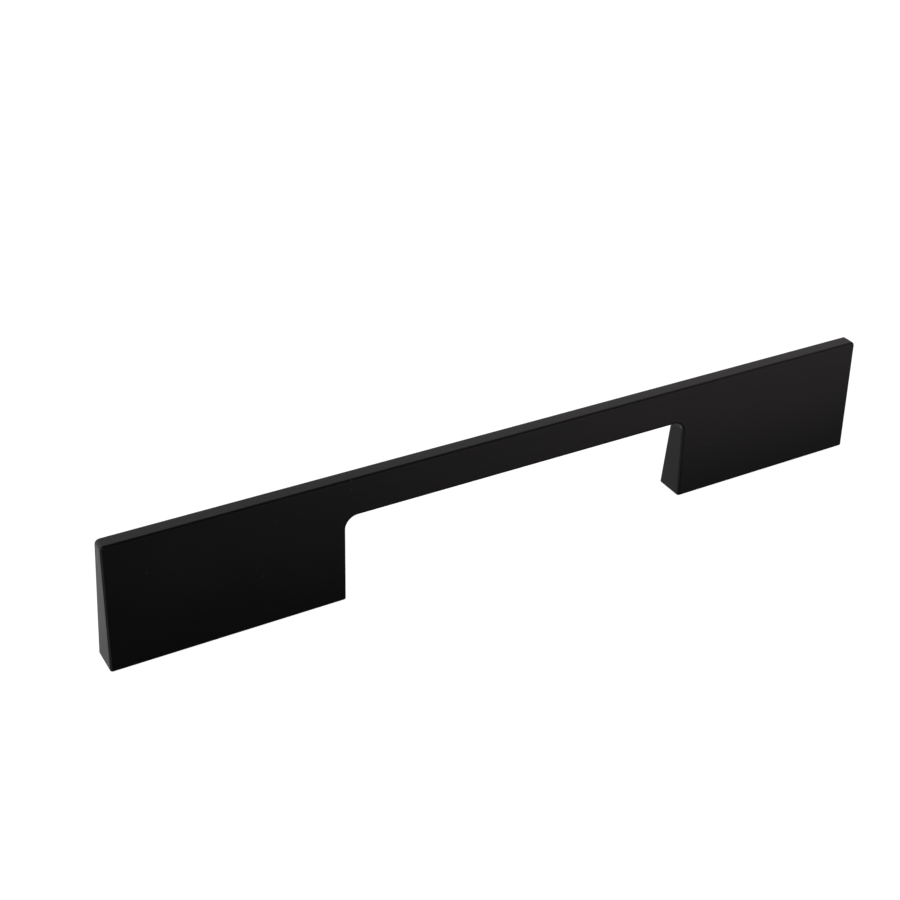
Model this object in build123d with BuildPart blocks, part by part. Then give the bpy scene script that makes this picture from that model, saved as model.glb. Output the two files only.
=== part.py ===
# Bridge handle for a cabinet door or drawer front, cast in one piece.
# Millimetres. X runs along the grip, Z points away from the door, and the origin is
# midway between the two screws on the plane where the feet meet the door.

import math
import os

from build123d import *

# Outline, seen square on to the broad side
overall_length = 220.0
projection = 33.0  # door face to the outer edge of the grip
leg_width = 59.5  # each foot, along the grip, where it meets the door
grip_depth = 10.2  # grip bar, from the finger opening to its outer edge
corner_radius = 1.2  # outer ends of the grip
opening_radius = 3.3  # inner corners of the finger opening
draft_angle = 0.5  # casting draft: ends and opening sides lean towards the middle

# Section: both flanks are flat and lean in from the foot to the grip's outer edge
foot_thickness = 8.2
grip_thickness = 4.0

# Softened edges
edge_radius = 0.6
foot_edge_radius = 0.4

# Screw fixing: a tapped M4 hole in each foot
screw_spacing = 160.0
thread_diameter = 4.0
core_diameter = 3.3
thread_depth = 10.0
core_depth = 13.0
mouth_chamfer = 0.4
drill_point_angle = 118.0

# Sizes that follow from the ones above
half_length = overall_length / 2
opening_half_width = half_length - leg_width
opening_height = projection - grip_depth
draft_slope = math.tan(math.radians(draft_angle))
end_lean = projection * draft_slope
opening_lean = opening_height * draft_slope
thread_radius = thread_diameter / 2
core_radius = core_diameter / 2
thread_runout = thread_radius - core_radius
drill_point_length = core_radius / math.tan(math.radians(drill_point_angle / 2))

os.makedirs("parts", exist_ok=True)

with BuildPart() as handle_body:
    # Wedge section, drawn across the handle and run along its length
    with BuildSketch(Plane.YZ):
        with BuildLine():
            Polyline(
                (foot_thickness / 2, 0),
                (grip_thickness / 2, projection),
                (-grip_thickness / 2, projection),
                (-foot_thickness / 2, 0),
                close=True,
            )
        make_face()
    extrude(amount=half_length, both=True)

    # Outline with the finger opening, run through the thickness to trim the wedge
    with BuildSketch(Plane.XZ) as outline:
        with BuildLine():
            Polyline(
                (half_length, 0),
                (half_length - end_lean, projection),
                (-half_length + end_lean, projection),
                (-half_length, 0),
                (-opening_half_width, 0),
                (-opening_half_width + opening_lean, opening_height),
                (opening_half_width - opening_lean, opening_height),
                (opening_half_width, 0),
                close=True,
            )
        make_face()
        fillet(outline.vertices().group_by(Axis.Y)[1], radius=opening_radius)
        fillet(outline.vertices().group_by(Axis.Y)[-1], radius=corner_radius)
    extrude(amount=foot_thickness, both=True, mode=Mode.INTERSECT)

    # Soft edges round both flanks, crisper ones where the feet meet the door
    flanks = handle_body.faces().sort_by(Axis.Y)
    flank_edges = flanks[0].edges() + flanks[-1].edges()
    fillet(flank_edges.filter_by(lambda edge: edge.center().Z > foot_edge_radius), radius=edge_radius)
    fillet(handle_body.edges().group_by(Axis.Z)[0], radius=foot_edge_radius)

    # Tapped holes: chamfered mouth, threaded length, drilled core and its drill point
    for side in (-1, 1):
        hole_plane = Plane(origin=(side * screw_spacing / 2, 0, 0), x_dir=(1, 0, 0), z_dir=(0, -1, 0))
        with BuildSketch(hole_plane):
            with BuildLine():
                Polyline(
                    (0, 0),
                    (thread_radius + mouth_chamfer, 0),
                    (thread_radius, mouth_chamfer),
                    (thread_radius, thread_depth),
                    (core_radius, thread_depth + thread_runout),
                    (core_radius, core_depth),
                    (0, core_depth + drill_point_length),
                    close=True,
                )
            make_face()
        revolve(axis=Axis(hole_plane.origin, (0, 0, 1)), mode=Mode.SUBTRACT)

handle_body.part.label = "handle_body"
export_step(handle_body.part, "parts/handle_body.step")
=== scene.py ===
import math

import bmesh
import bpy
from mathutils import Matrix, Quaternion, Vector


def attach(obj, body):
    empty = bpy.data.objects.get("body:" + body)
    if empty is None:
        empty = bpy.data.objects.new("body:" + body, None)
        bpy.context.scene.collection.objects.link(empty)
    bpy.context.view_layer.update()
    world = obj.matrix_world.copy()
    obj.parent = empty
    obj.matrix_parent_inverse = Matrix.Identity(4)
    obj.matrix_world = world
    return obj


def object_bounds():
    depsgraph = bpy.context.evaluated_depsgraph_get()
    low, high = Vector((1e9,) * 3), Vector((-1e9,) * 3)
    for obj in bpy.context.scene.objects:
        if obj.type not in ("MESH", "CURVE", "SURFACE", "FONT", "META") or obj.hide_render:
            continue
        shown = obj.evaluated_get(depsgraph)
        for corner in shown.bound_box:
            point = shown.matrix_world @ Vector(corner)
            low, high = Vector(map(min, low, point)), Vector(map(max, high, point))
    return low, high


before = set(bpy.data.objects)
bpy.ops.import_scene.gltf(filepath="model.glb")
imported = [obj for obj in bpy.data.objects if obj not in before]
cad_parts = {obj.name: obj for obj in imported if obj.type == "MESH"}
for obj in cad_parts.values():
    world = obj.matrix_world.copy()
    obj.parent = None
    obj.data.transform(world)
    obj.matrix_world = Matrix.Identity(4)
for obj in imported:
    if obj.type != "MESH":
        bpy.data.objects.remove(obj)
cadLow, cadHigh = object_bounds()
scene = bpy.context.scene
mm = 0.001
print("stage: frame loaded,", len(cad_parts), "CAD node")


# small helpers for node trees
def addNode(tree, kind, x, y, **settings):
    node = tree.nodes.new(kind)
    node.location = (x, y)
    for name, value in settings.items():
        setattr(node, name, value)
    return node


def wire(tree, source, target):
    tree.links.new(source, target)


def mathNode(tree, operation, x, y, first, second):
    node = addNode(tree, "ShaderNodeMath", x, y, operation=operation)
    for socket, value in zip(node.inputs, (first, second)):
        if isinstance(value, (int, float)):
            socket.default_value = value
        else:
            wire(tree, value, socket)
    return node.outputs[0]


def newGroup(name, inputs, outputs):
    group = bpy.data.node_groups.new(name, "ShaderNodeTree")
    for label, kind, value in inputs:
        socket = group.interface.new_socket(label, in_out="INPUT", socket_type=kind)
        socket.default_value = value
    for label, kind in outputs:
        group.interface.new_socket(label, in_out="OUTPUT", socket_type=kind)
    start = addNode(group, "NodeGroupInput", -900, 0)
    end = addNode(group, "NodeGroupOutput", 700, 0)
    return group, start, end


def placeGroup(tree, group, x, y, **values):
    node = addNode(tree, "ShaderNodeGroup", x, y, node_tree=group)
    for label, value in values.items():
        node.inputs[label].default_value = value
    return node


# fine grain: two sizes of noise laid over each other, as a height
def makeGrainGroup():
    inputs = [
        ("GrainPerMetre", "NodeSocketFloat", 3000.0),
        ("RipplePerMetre", "NodeSocketFloat", 700.0),
        ("RippleShare", "NodeSocketFloat", 0.5),
    ]
    group, start, end = newGroup("fineGrain", inputs, [("Height", "NodeSocketFloat")])
    place = addNode(group, "ShaderNodeTexCoord", -900, -300)
    heights = []
    for label, detail, y in (("GrainPerMetre", 3.0, 150), ("RipplePerMetre", 1.0, -150)):
        noise = addNode(group, "ShaderNodeTexNoise", -600, y)
        noise.inputs["Detail"].default_value = detail
        noise.inputs["Roughness"].default_value = 0.6
        wire(group, place.outputs["Object"], noise.inputs["Vector"])
        wire(group, start.outputs[label], noise.inputs["Scale"])
        heights.append(noise.outputs["Fac"])
    ripple = mathNode(group, "MULTIPLY", -250, -150, heights[1], start.outputs["RippleShare"])
    total = mathNode(group, "ADD", 0, 0, heights[0], ripple)
    wire(group, total, end.inputs["Height"])
    return group


# sparse specks: a few cells of a Voronoi pattern, each a small dot
def makeSpeckGroup():
    inputs = [
        ("CellsPerMetre", "NodeSocketFloat", 250.0),
        ("Share", "NodeSocketFloat", 0.1),
        ("DotSize", "NodeSocketFloat", 0.05),
    ]
    group, start, end = newGroup("sparseSpecks", inputs, [("Mask", "NodeSocketFloat")])
    place = addNode(group, "ShaderNodeTexCoord", -900, -300)
    cells = addNode(group, "ShaderNodeTexVoronoi", -600, 0)
    wire(group, place.outputs["Object"], cells.inputs["Vector"])
    wire(group, start.outputs["CellsPerMetre"], cells.inputs["Scale"])
    pick = addNode(group, "ShaderNodeSeparateColor", -350, -150)
    wire(group, cells.outputs["Color"], pick.inputs["Color"])
    chosen = mathNode(group, "LESS_THAN", -100, -150, pick.outputs["Red"], start.outputs["Share"])
    distance, dotSize = cells.outputs["Distance"], start.outputs["DotSize"]
    inside = mathNode(group, "LESS_THAN", -100, 100, distance, dotSize)
    mask = mathNode(group, "MULTIPLY", 200, 0, chosen, inside)
    wire(group, mask, end.inputs["Mask"])
    return group


grainGroup = makeGrainGroup()
speckGroup = makeSpeckGroup()
print("stage: shared effects built")


def newMaterial(name):
    material = bpy.data.materials.new(name)
    material.use_nodes = True
    tree = material.node_tree
    return material, tree, tree.nodes["Principled BSDF"]


# matt black coating on the casting
coating = {
    "colour": (0.0046, 0.0044, 0.0048, 1.0),
    "paleColour": (0.0078, 0.0074, 0.0078, 1.0),
    "speckColour": (0.032, 0.032, 0.032, 1.0),
    "roughness": (0.34, 0.42),
    "ior": 1.5,
    "cloudsPerMetre": 60.0,
    "cloudDetail": 4.0,
    "specks": {"CellsPerMetre": 220.0, "Share": 0.4, "DotSize": 0.07},
    "grain": {"GrainPerMetre": 3500.0, "RipplePerMetre": 700.0, "RippleShare": 1.8},
    "grainDepth": 0.010 * mm,
}


def makeCoatingMaterial():
    material, tree, surface = newMaterial("mattBlackCoating")
    surface.inputs["IOR"].default_value = coating["ior"]
    place = addNode(tree, "ShaderNodeTexCoord", -1300, 0)
    clouds = addNode(tree, "ShaderNodeTexNoise", -1100, 100)
    clouds.inputs["Scale"].default_value = coating["cloudsPerMetre"]
    clouds.inputs["Detail"].default_value = coating["cloudDetail"]
    wire(tree, place.outputs["Object"], clouds.inputs["Vector"])

    tint = addNode(tree, "ShaderNodeMix", -700, 250, data_type="RGBA")
    tint.inputs["A"].default_value = coating["colour"]
    tint.inputs["B"].default_value = coating["paleColour"]
    wire(tree, clouds.outputs["Fac"], tint.inputs["Factor"])
    specks = placeGroup(tree, speckGroup, -700, 0, **coating["specks"])
    dusted = addNode(tree, "ShaderNodeMix", -400, 200, data_type="RGBA")
    wire(tree, specks.outputs["Mask"], dusted.inputs["Factor"])
    wire(tree, tint.outputs["Result"], dusted.inputs["A"])
    dusted.inputs["B"].default_value = coating["speckColour"]
    wire(tree, dusted.outputs["Result"], surface.inputs["Base Color"])

    sheen = addNode(tree, "ShaderNodeMapRange", -700, -200)
    sheen.inputs["To Min"].default_value = coating["roughness"][0]
    sheen.inputs["To Max"].default_value = coating["roughness"][1]
    wire(tree, clouds.outputs["Fac"], sheen.inputs["Value"])
    wire(tree, sheen.outputs["Result"], surface.inputs["Roughness"])

    grain = placeGroup(tree, grainGroup, -700, -500, **coating["grain"])
    bump = addNode(tree, "ShaderNodeBump", -350, -450)
    bump.inputs["Distance"].default_value = coating["grainDepth"]
    wire(tree, grain.outputs["Height"], bump.inputs["Height"])
    wire(tree, bump.outputs["Normal"], surface.inputs["Normal"])
    return material


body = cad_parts["handle_body"]
body.data.materials.clear()
body.data.materials.append(makeCoatingMaterial())
print("stage: coating on handle_body,", len(body.data.polygons), "faces")

# screw thread in each foot: a thin closed sleeve whose inner wall winds up the hole
thread = {
    "holes": {"leftThread": -80.0, "rightThread": 80.0},  # along the grip
    "pitch": 0.7,  # millimetres, as the lengths below
    "wallRadius": 1.95,
    "crestRadius": 1.65,
    "rootRadius": 1.93,
    # one turn: share of the pitch, share of the thread's depth
    "profile": [(0.0, 0.0), (0.25, 0.0), (0.56, 1.0), (0.69, 1.0)],
    "low": 0.4,
    "high": 10.0,
    "leadIn": 0.5,
    "steps": 36,  # round one turn
    "mergeGap": 0.0005,
    "sharpAngle": 35.0,
    "colour": (0.50, 0.49, 0.47, 1.0),
    "dullColour": (0.36, 0.35, 0.34, 1.0),
    "roughness": (0.28, 0.45),
    "chips": {"CellsPerMetre": 2500.0, "Share": 0.15, "DotSize": 0.3},
    "grain": {"GrainPerMetre": 9000.0, "RipplePerMetre": 2500.0, "RippleShare": 0.5},
    "scratchDepth": 0.01 * mm,
}


def makeThreadMaterial():
    material, tree, surface = newMaterial("bareTappedMetal")
    surface.inputs["Metallic"].default_value = 1.0
    grain = placeGroup(tree, grainGroup, -900, -200, **thread["grain"])
    chips = placeGroup(tree, speckGroup, -900, 200, **thread["chips"])
    tint = addNode(tree, "ShaderNodeMix", -500, 200, data_type="RGBA")
    tint.inputs["A"].default_value = thread["colour"]
    tint.inputs["B"].default_value = thread["dullColour"]
    wire(tree, chips.outputs["Mask"], tint.inputs["Factor"])
    wire(tree, tint.outputs["Result"], surface.inputs["Base Color"])
    sheen = addNode(tree, "ShaderNodeMapRange", -500, -100)
    sheen.inputs["From Max"].default_value = 1.0 + thread["grain"]["RippleShare"]
    sheen.inputs["To Min"].default_value = thread["roughness"][0]
    sheen.inputs["To Max"].default_value = thread["roughness"][1]
    wire(tree, grain.outputs["Height"], sheen.inputs["Value"])
    wire(tree, sheen.outputs["Result"], surface.inputs["Roughness"])
    bump = addNode(tree, "ShaderNodeBump", -500, -400)
    bump.inputs["Distance"].default_value = thread["scratchDepth"]
    wire(tree, grain.outputs["Height"], bump.inputs["Height"])
    wire(tree, bump.outputs["Normal"], surface.inputs["Normal"])
    return material


def threadRadius(depthShare, z):
    full = thread["crestRadius"] + depthShare * (thread["rootRadius"] - thread["crestRadius"])
    toEnd = min(z - thread["low"], thread["high"] - z)  # to the nearer end of the sleeve
    fade = min(toEnd / thread["leadIn"], 1.0)
    return thread["wallRadius"] + (full - thread["wallRadius"]) * max(fade, 0.0)


def makeThread(name, holeX, material):
    made = bmesh.new()
    steps, profile = thread["steps"], thread["profile"]
    turns = math.ceil((thread["high"] - thread["low"]) / thread["pitch"]) + 2
    rows = []
    for turn in range(-1, turns):
        for share, depth in profile:
            row = []
            for step in range(steps):
                z = thread["low"] + thread["pitch"] * (turn + share + step / steps)
                z = min(max(z, thread["low"]), thread["high"])
                radius = threadRadius(depth, z)
                angle = 2 * math.pi * step / steps
                row.append(made.verts.new((radius * math.cos(angle), radius * math.sin(angle), z)))
            rows.append(row)
    # each row runs on into the row one turn higher
    for index in range(len(rows) - len(profile) - 1):
        low = rows[index] + [rows[index + len(profile)][0]]
        high = rows[index + 1] + [rows[index + 1 + len(profile)][0]]
        for step in range(steps):
            made.faces.new((low[step], low[step + 1], high[step + 1], high[step]))
    rings = []
    for z in (thread["low"], thread["high"]):
        ring = []
        for step in range(steps):
            angle = 2 * math.pi * step / steps
            x, y = thread["wallRadius"] * math.cos(angle), thread["wallRadius"] * math.sin(angle)
            ring.append(made.verts.new((x, y, z)))
        rings.append(ring)
    for step in range(steps):
        after = (step + 1) % steps
        made.faces.new((rings[0][step], rings[1][step], rings[1][after], rings[0][after]))
    bmesh.ops.remove_doubles(made, verts=made.verts, dist=thread["mergeGap"])
    bmesh.ops.dissolve_degenerate(made, edges=made.edges, dist=thread["mergeGap"])
    loose = [vert for vert in made.verts if not vert.link_faces]
    bmesh.ops.delete(made, geom=loose, context="VERTS")
    bmesh.ops.scale(made, vec=(mm, mm, mm), verts=made.verts)
    bmesh.ops.recalc_face_normals(made, faces=made.faces)
    mesh = bpy.data.meshes.new(name)
    made.to_mesh(mesh)
    made.free()
    mesh.shade_smooth()
    mesh.set_sharp_from_angle(angle=math.radians(thread["sharpAngle"]))
    mesh.materials.append(material)
    piece = bpy.data.objects.new(name, mesh)
    scene.collection.objects.link(piece)
    piece.location.x = holeX * mm
    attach(piece, "root")
    return len(mesh.polygons)


threadMaterial = makeThreadMaterial()
for pieceName, holeX in thread["holes"].items():
    print("stage:", pieceName, makeThread(pieceName, holeX, threadMaterial), "faces")

# plain pale floor for the camera; light and reflections meet only a soft shadow before the feet
floorLook = {
    "size": 6.0,
    "drop": 0.2 * mm,
    "glow": 0.98,
    "paint": 0.5,
    "shadow": 0.5,  # at the feet
    "shadowFrom": -4.1 * mm,  # front of the feet
    "shadowTo": -70.0 * mm,
}


def makeFloor():
    mesh = bpy.data.meshes.new("floor")
    half = floorLook["size"] / 2
    corners = [(-half, -half, 0), (half, -half, 0), (half, half, 0), (-half, half, 0)]
    mesh.from_pydata(corners, [], [(0, 1, 2, 3)])
    floor = bpy.data.objects.new("floor", mesh)
    scene.collection.objects.link(floor)
    floor.location.z = cadLow.z - floorLook["drop"]
    material = bpy.data.materials.new("paleFloor")
    material.use_nodes = True
    tree = material.node_tree
    tree.nodes.remove(tree.nodes["Principled BSDF"])
    paint = addNode(tree, "ShaderNodeBsdfDiffuse", -400, 100)
    paint.inputs["Color"].default_value = (floorLook["paint"],) * 3 + (1.0,)
    glow = addNode(tree, "ShaderNodeEmission", -400, -50)
    glow.inputs["Strength"].default_value = floorLook["glow"]
    lit = addNode(tree, "ShaderNodeAddShader", -200, 50)
    wire(tree, paint.outputs[0], lit.inputs[0])
    wire(tree, glow.outputs[0], lit.inputs[1])
    clear = addNode(tree, "ShaderNodeBsdfTransparent", -200, -100)
    spot = addNode(tree, "ShaderNodeNewGeometry", -1200, 250)
    seen = addNode(tree, "ShaderNodeMixShader", 0, 0)  # seen from below it is clear
    wire(tree, spot.outputs["Backfacing"], seen.inputs["Fac"])
    wire(tree, lit.outputs[0], seen.inputs[1])
    wire(tree, clear.outputs[0], seen.inputs[2])

    across = addNode(tree, "ShaderNodeSeparateXYZ", -1000, -350)
    wire(tree, spot.outputs["Position"], across.inputs[0])
    fade = addNode(tree, "ShaderNodeMapRange", -800, -350, interpolation_type="SMOOTHSTEP")
    fade.inputs["From Min"].default_value = floorLook["shadowTo"]
    fade.inputs["From Max"].default_value = floorLook["shadowFrom"]
    fade.inputs["To Max"].default_value = floorLook["shadow"]
    wire(tree, across.outputs["Y"], fade.inputs["Value"])
    inFront = mathNode(tree, "LESS_THAN", -800, -650, across.outputs["Y"], floorLook["shadowFrom"])
    shadow = mathNode(tree, "MULTIPLY", -550, -400, fade.outputs["Result"], inFront)
    dark = addNode(tree, "ShaderNodeBsdfDiffuse", -200, -500)
    dark.inputs["Color"].default_value = (0.0, 0.0, 0.0, 1.0)
    mirrored = addNode(tree, "ShaderNodeMixShader", 0, -300)
    wire(tree, shadow, mirrored.inputs["Fac"])
    wire(tree, clear.outputs[0], mirrored.inputs[1])
    wire(tree, dark.outputs[0], mirrored.inputs[2])

    path = addNode(tree, "ShaderNodeLightPath", 0, 300)
    choose = addNode(tree, "ShaderNodeMixShader", 250, 0)
    wire(tree, path.outputs["Is Camera Ray"], choose.inputs["Fac"])
    wire(tree, mirrored.outputs[0], choose.inputs[1])
    wire(tree, seen.outputs[0], choose.inputs[2])
    wire(tree, choose.outputs[0], tree.nodes["Material Output"].inputs["Surface"])
    mesh.materials.append(material)
    floor.visible_diffuse = False
    floor.visible_transmission = False


makeFloor()
print("stage: floor laid")

# soft dome: a dim all-round level and a few broad glows, each fading out from its direction
dome = {
    "base": (0.003, 0.003, 0.004),
    "backdrop": 1.0,
    "glows": [
        {  # behind
            "towards": (-0.089, 0.995, -0.035),
            "fade": (0.555, 1.148),
            "light": (1.88, 1.83, 1.86),
        },
        {  # straight below
            "towards": (-0.050, 0.150, -0.985),
            "fade": (0.850, 1.000),
            "light": (1.85, 1.68, 1.66),
        },
        {  # low at the left
            "towards": (-0.700, -0.420, -0.570),
            "fade": (0.750, 1.000),
            "light": (0.52, 0.55, 0.57),
        },
        {  # front right
            "towards": (0.577, -0.794, -0.191),
            "fade": (0.930, 1.050),
            "light": (1.73, 1.58, 1.59),
        },
        {  # low in front
            "towards": (0.150, -0.800, -0.580),
            "fade": (0.350, 1.000),
            "light": (0.016, 0.017, 0.021),
        },
        {  # left
            "towards": (-0.950, -0.200, 0.250),
            "fade": (0.500, 1.000),
            "light": (0.32, 0.32, 0.33),
        },
        {  # above, front left
            "towards": (-0.450, -0.750, 0.480),
            "fade": (0.820, 1.000),
            "light": (0.30, 0.30, 0.31),
        },
        {  # right
            "towards": (0.951, 0.198, 0.237),
            "fade": (0.625, 0.745),
            "light": (0.48, 0.45, 0.46),
        },
    ],
}


def makeDome():
    world = bpy.data.worlds.new("softDome")
    world.use_nodes = True
    scene.world = world
    tree = world.node_tree
    for node in list(tree.nodes):
        tree.nodes.remove(node)
    place = addNode(tree, "ShaderNodeTexCoord", -1200, 0)
    total = None
    for index, glow in enumerate(dome["glows"]):
        y = -250 * index
        facing = addNode(tree, "ShaderNodeVectorMath", -1000, y, operation="DOT_PRODUCT")
        facing.inputs[1].default_value = Vector(glow["towards"]).normalized()
        wire(tree, place.outputs["Generated"], facing.inputs[0])
        share = addNode(tree, "ShaderNodeMapRange", -800, y, interpolation_type="SMOOTHSTEP")
        for label, value in zip(("From Min", "From Max"), glow["fade"]):
            share.inputs[label].default_value = value
        wire(tree, facing.outputs["Value"], share.inputs["Value"])
        light = addNode(tree, "ShaderNodeVectorMath", -600, y, operation="SCALE")
        light.inputs[0].default_value = glow["light"]
        wire(tree, share.outputs["Result"], light.inputs["Scale"])
        added = addNode(tree, "ShaderNodeVectorMath", -400, y, operation="ADD")
        wire(tree, light.outputs[0], added.inputs[0])
        if total is None:
            added.inputs[1].default_value = dome["base"]
        else:
            wire(tree, total, added.inputs[1])
        total = added.outputs[0]
    soft = addNode(tree, "ShaderNodeBackground", 0, 0)
    wire(tree, total, soft.inputs["Color"])
    plain = addNode(tree, "ShaderNodeBackground", 0, -150)
    plain.inputs["Color"].default_value = (dome["backdrop"],) * 3 + (1.0,)
    path = addNode(tree, "ShaderNodeLightPath", 0, 300)
    choose = addNode(tree, "ShaderNodeMixShader", 250, 0)
    wire(tree, path.outputs["Is Camera Ray"], choose.inputs["Fac"])
    wire(tree, soft.outputs[0], choose.inputs[1])
    wire(tree, plain.outputs[0], choose.inputs[2])
    out = addNode(tree, "ShaderNodeOutputWorld", 450, 0)
    wire(tree, choose.outputs[0], out.inputs["Surface"])


makeDome()
scene.view_settings.view_transform = "Standard"
print("stage: light set")

# camera, fitted to the photo's edges; the shift puts its axis above the picture's middle
view = {
    "place": (-192.48, -273.43, 234.70),  # millimetres, as the aim
    "aim": (-21.685, 0.0, 48.918),
    "roll": 3.138,
    "lens": 62.707,
    "shiftY": -0.0649,
    "sensor": 36.0,
    "clipStart": 0.01,
}


def makeCamera():
    data = bpy.data.cameras.new("camera")
    data.lens = view["lens"]
    data.sensor_width = view["sensor"]
    data.shift_y = view["shiftY"]
    data.clip_start = view["clipStart"]
    camera = bpy.data.objects.new("camera", data)
    scene.collection.objects.link(camera)
    camera.location = Vector(view["place"]) * mm
    look = (Vector(view["aim"]) - Vector(view["place"])).to_track_quat("-Z", "Y")
    camera.rotation_mode = "QUATERNION"
    camera.rotation_quaternion = look @ Quaternion((0, 0, 1), math.radians(view["roll"]))
    scene.camera = camera


makeCamera()
print("stage: camera placed")
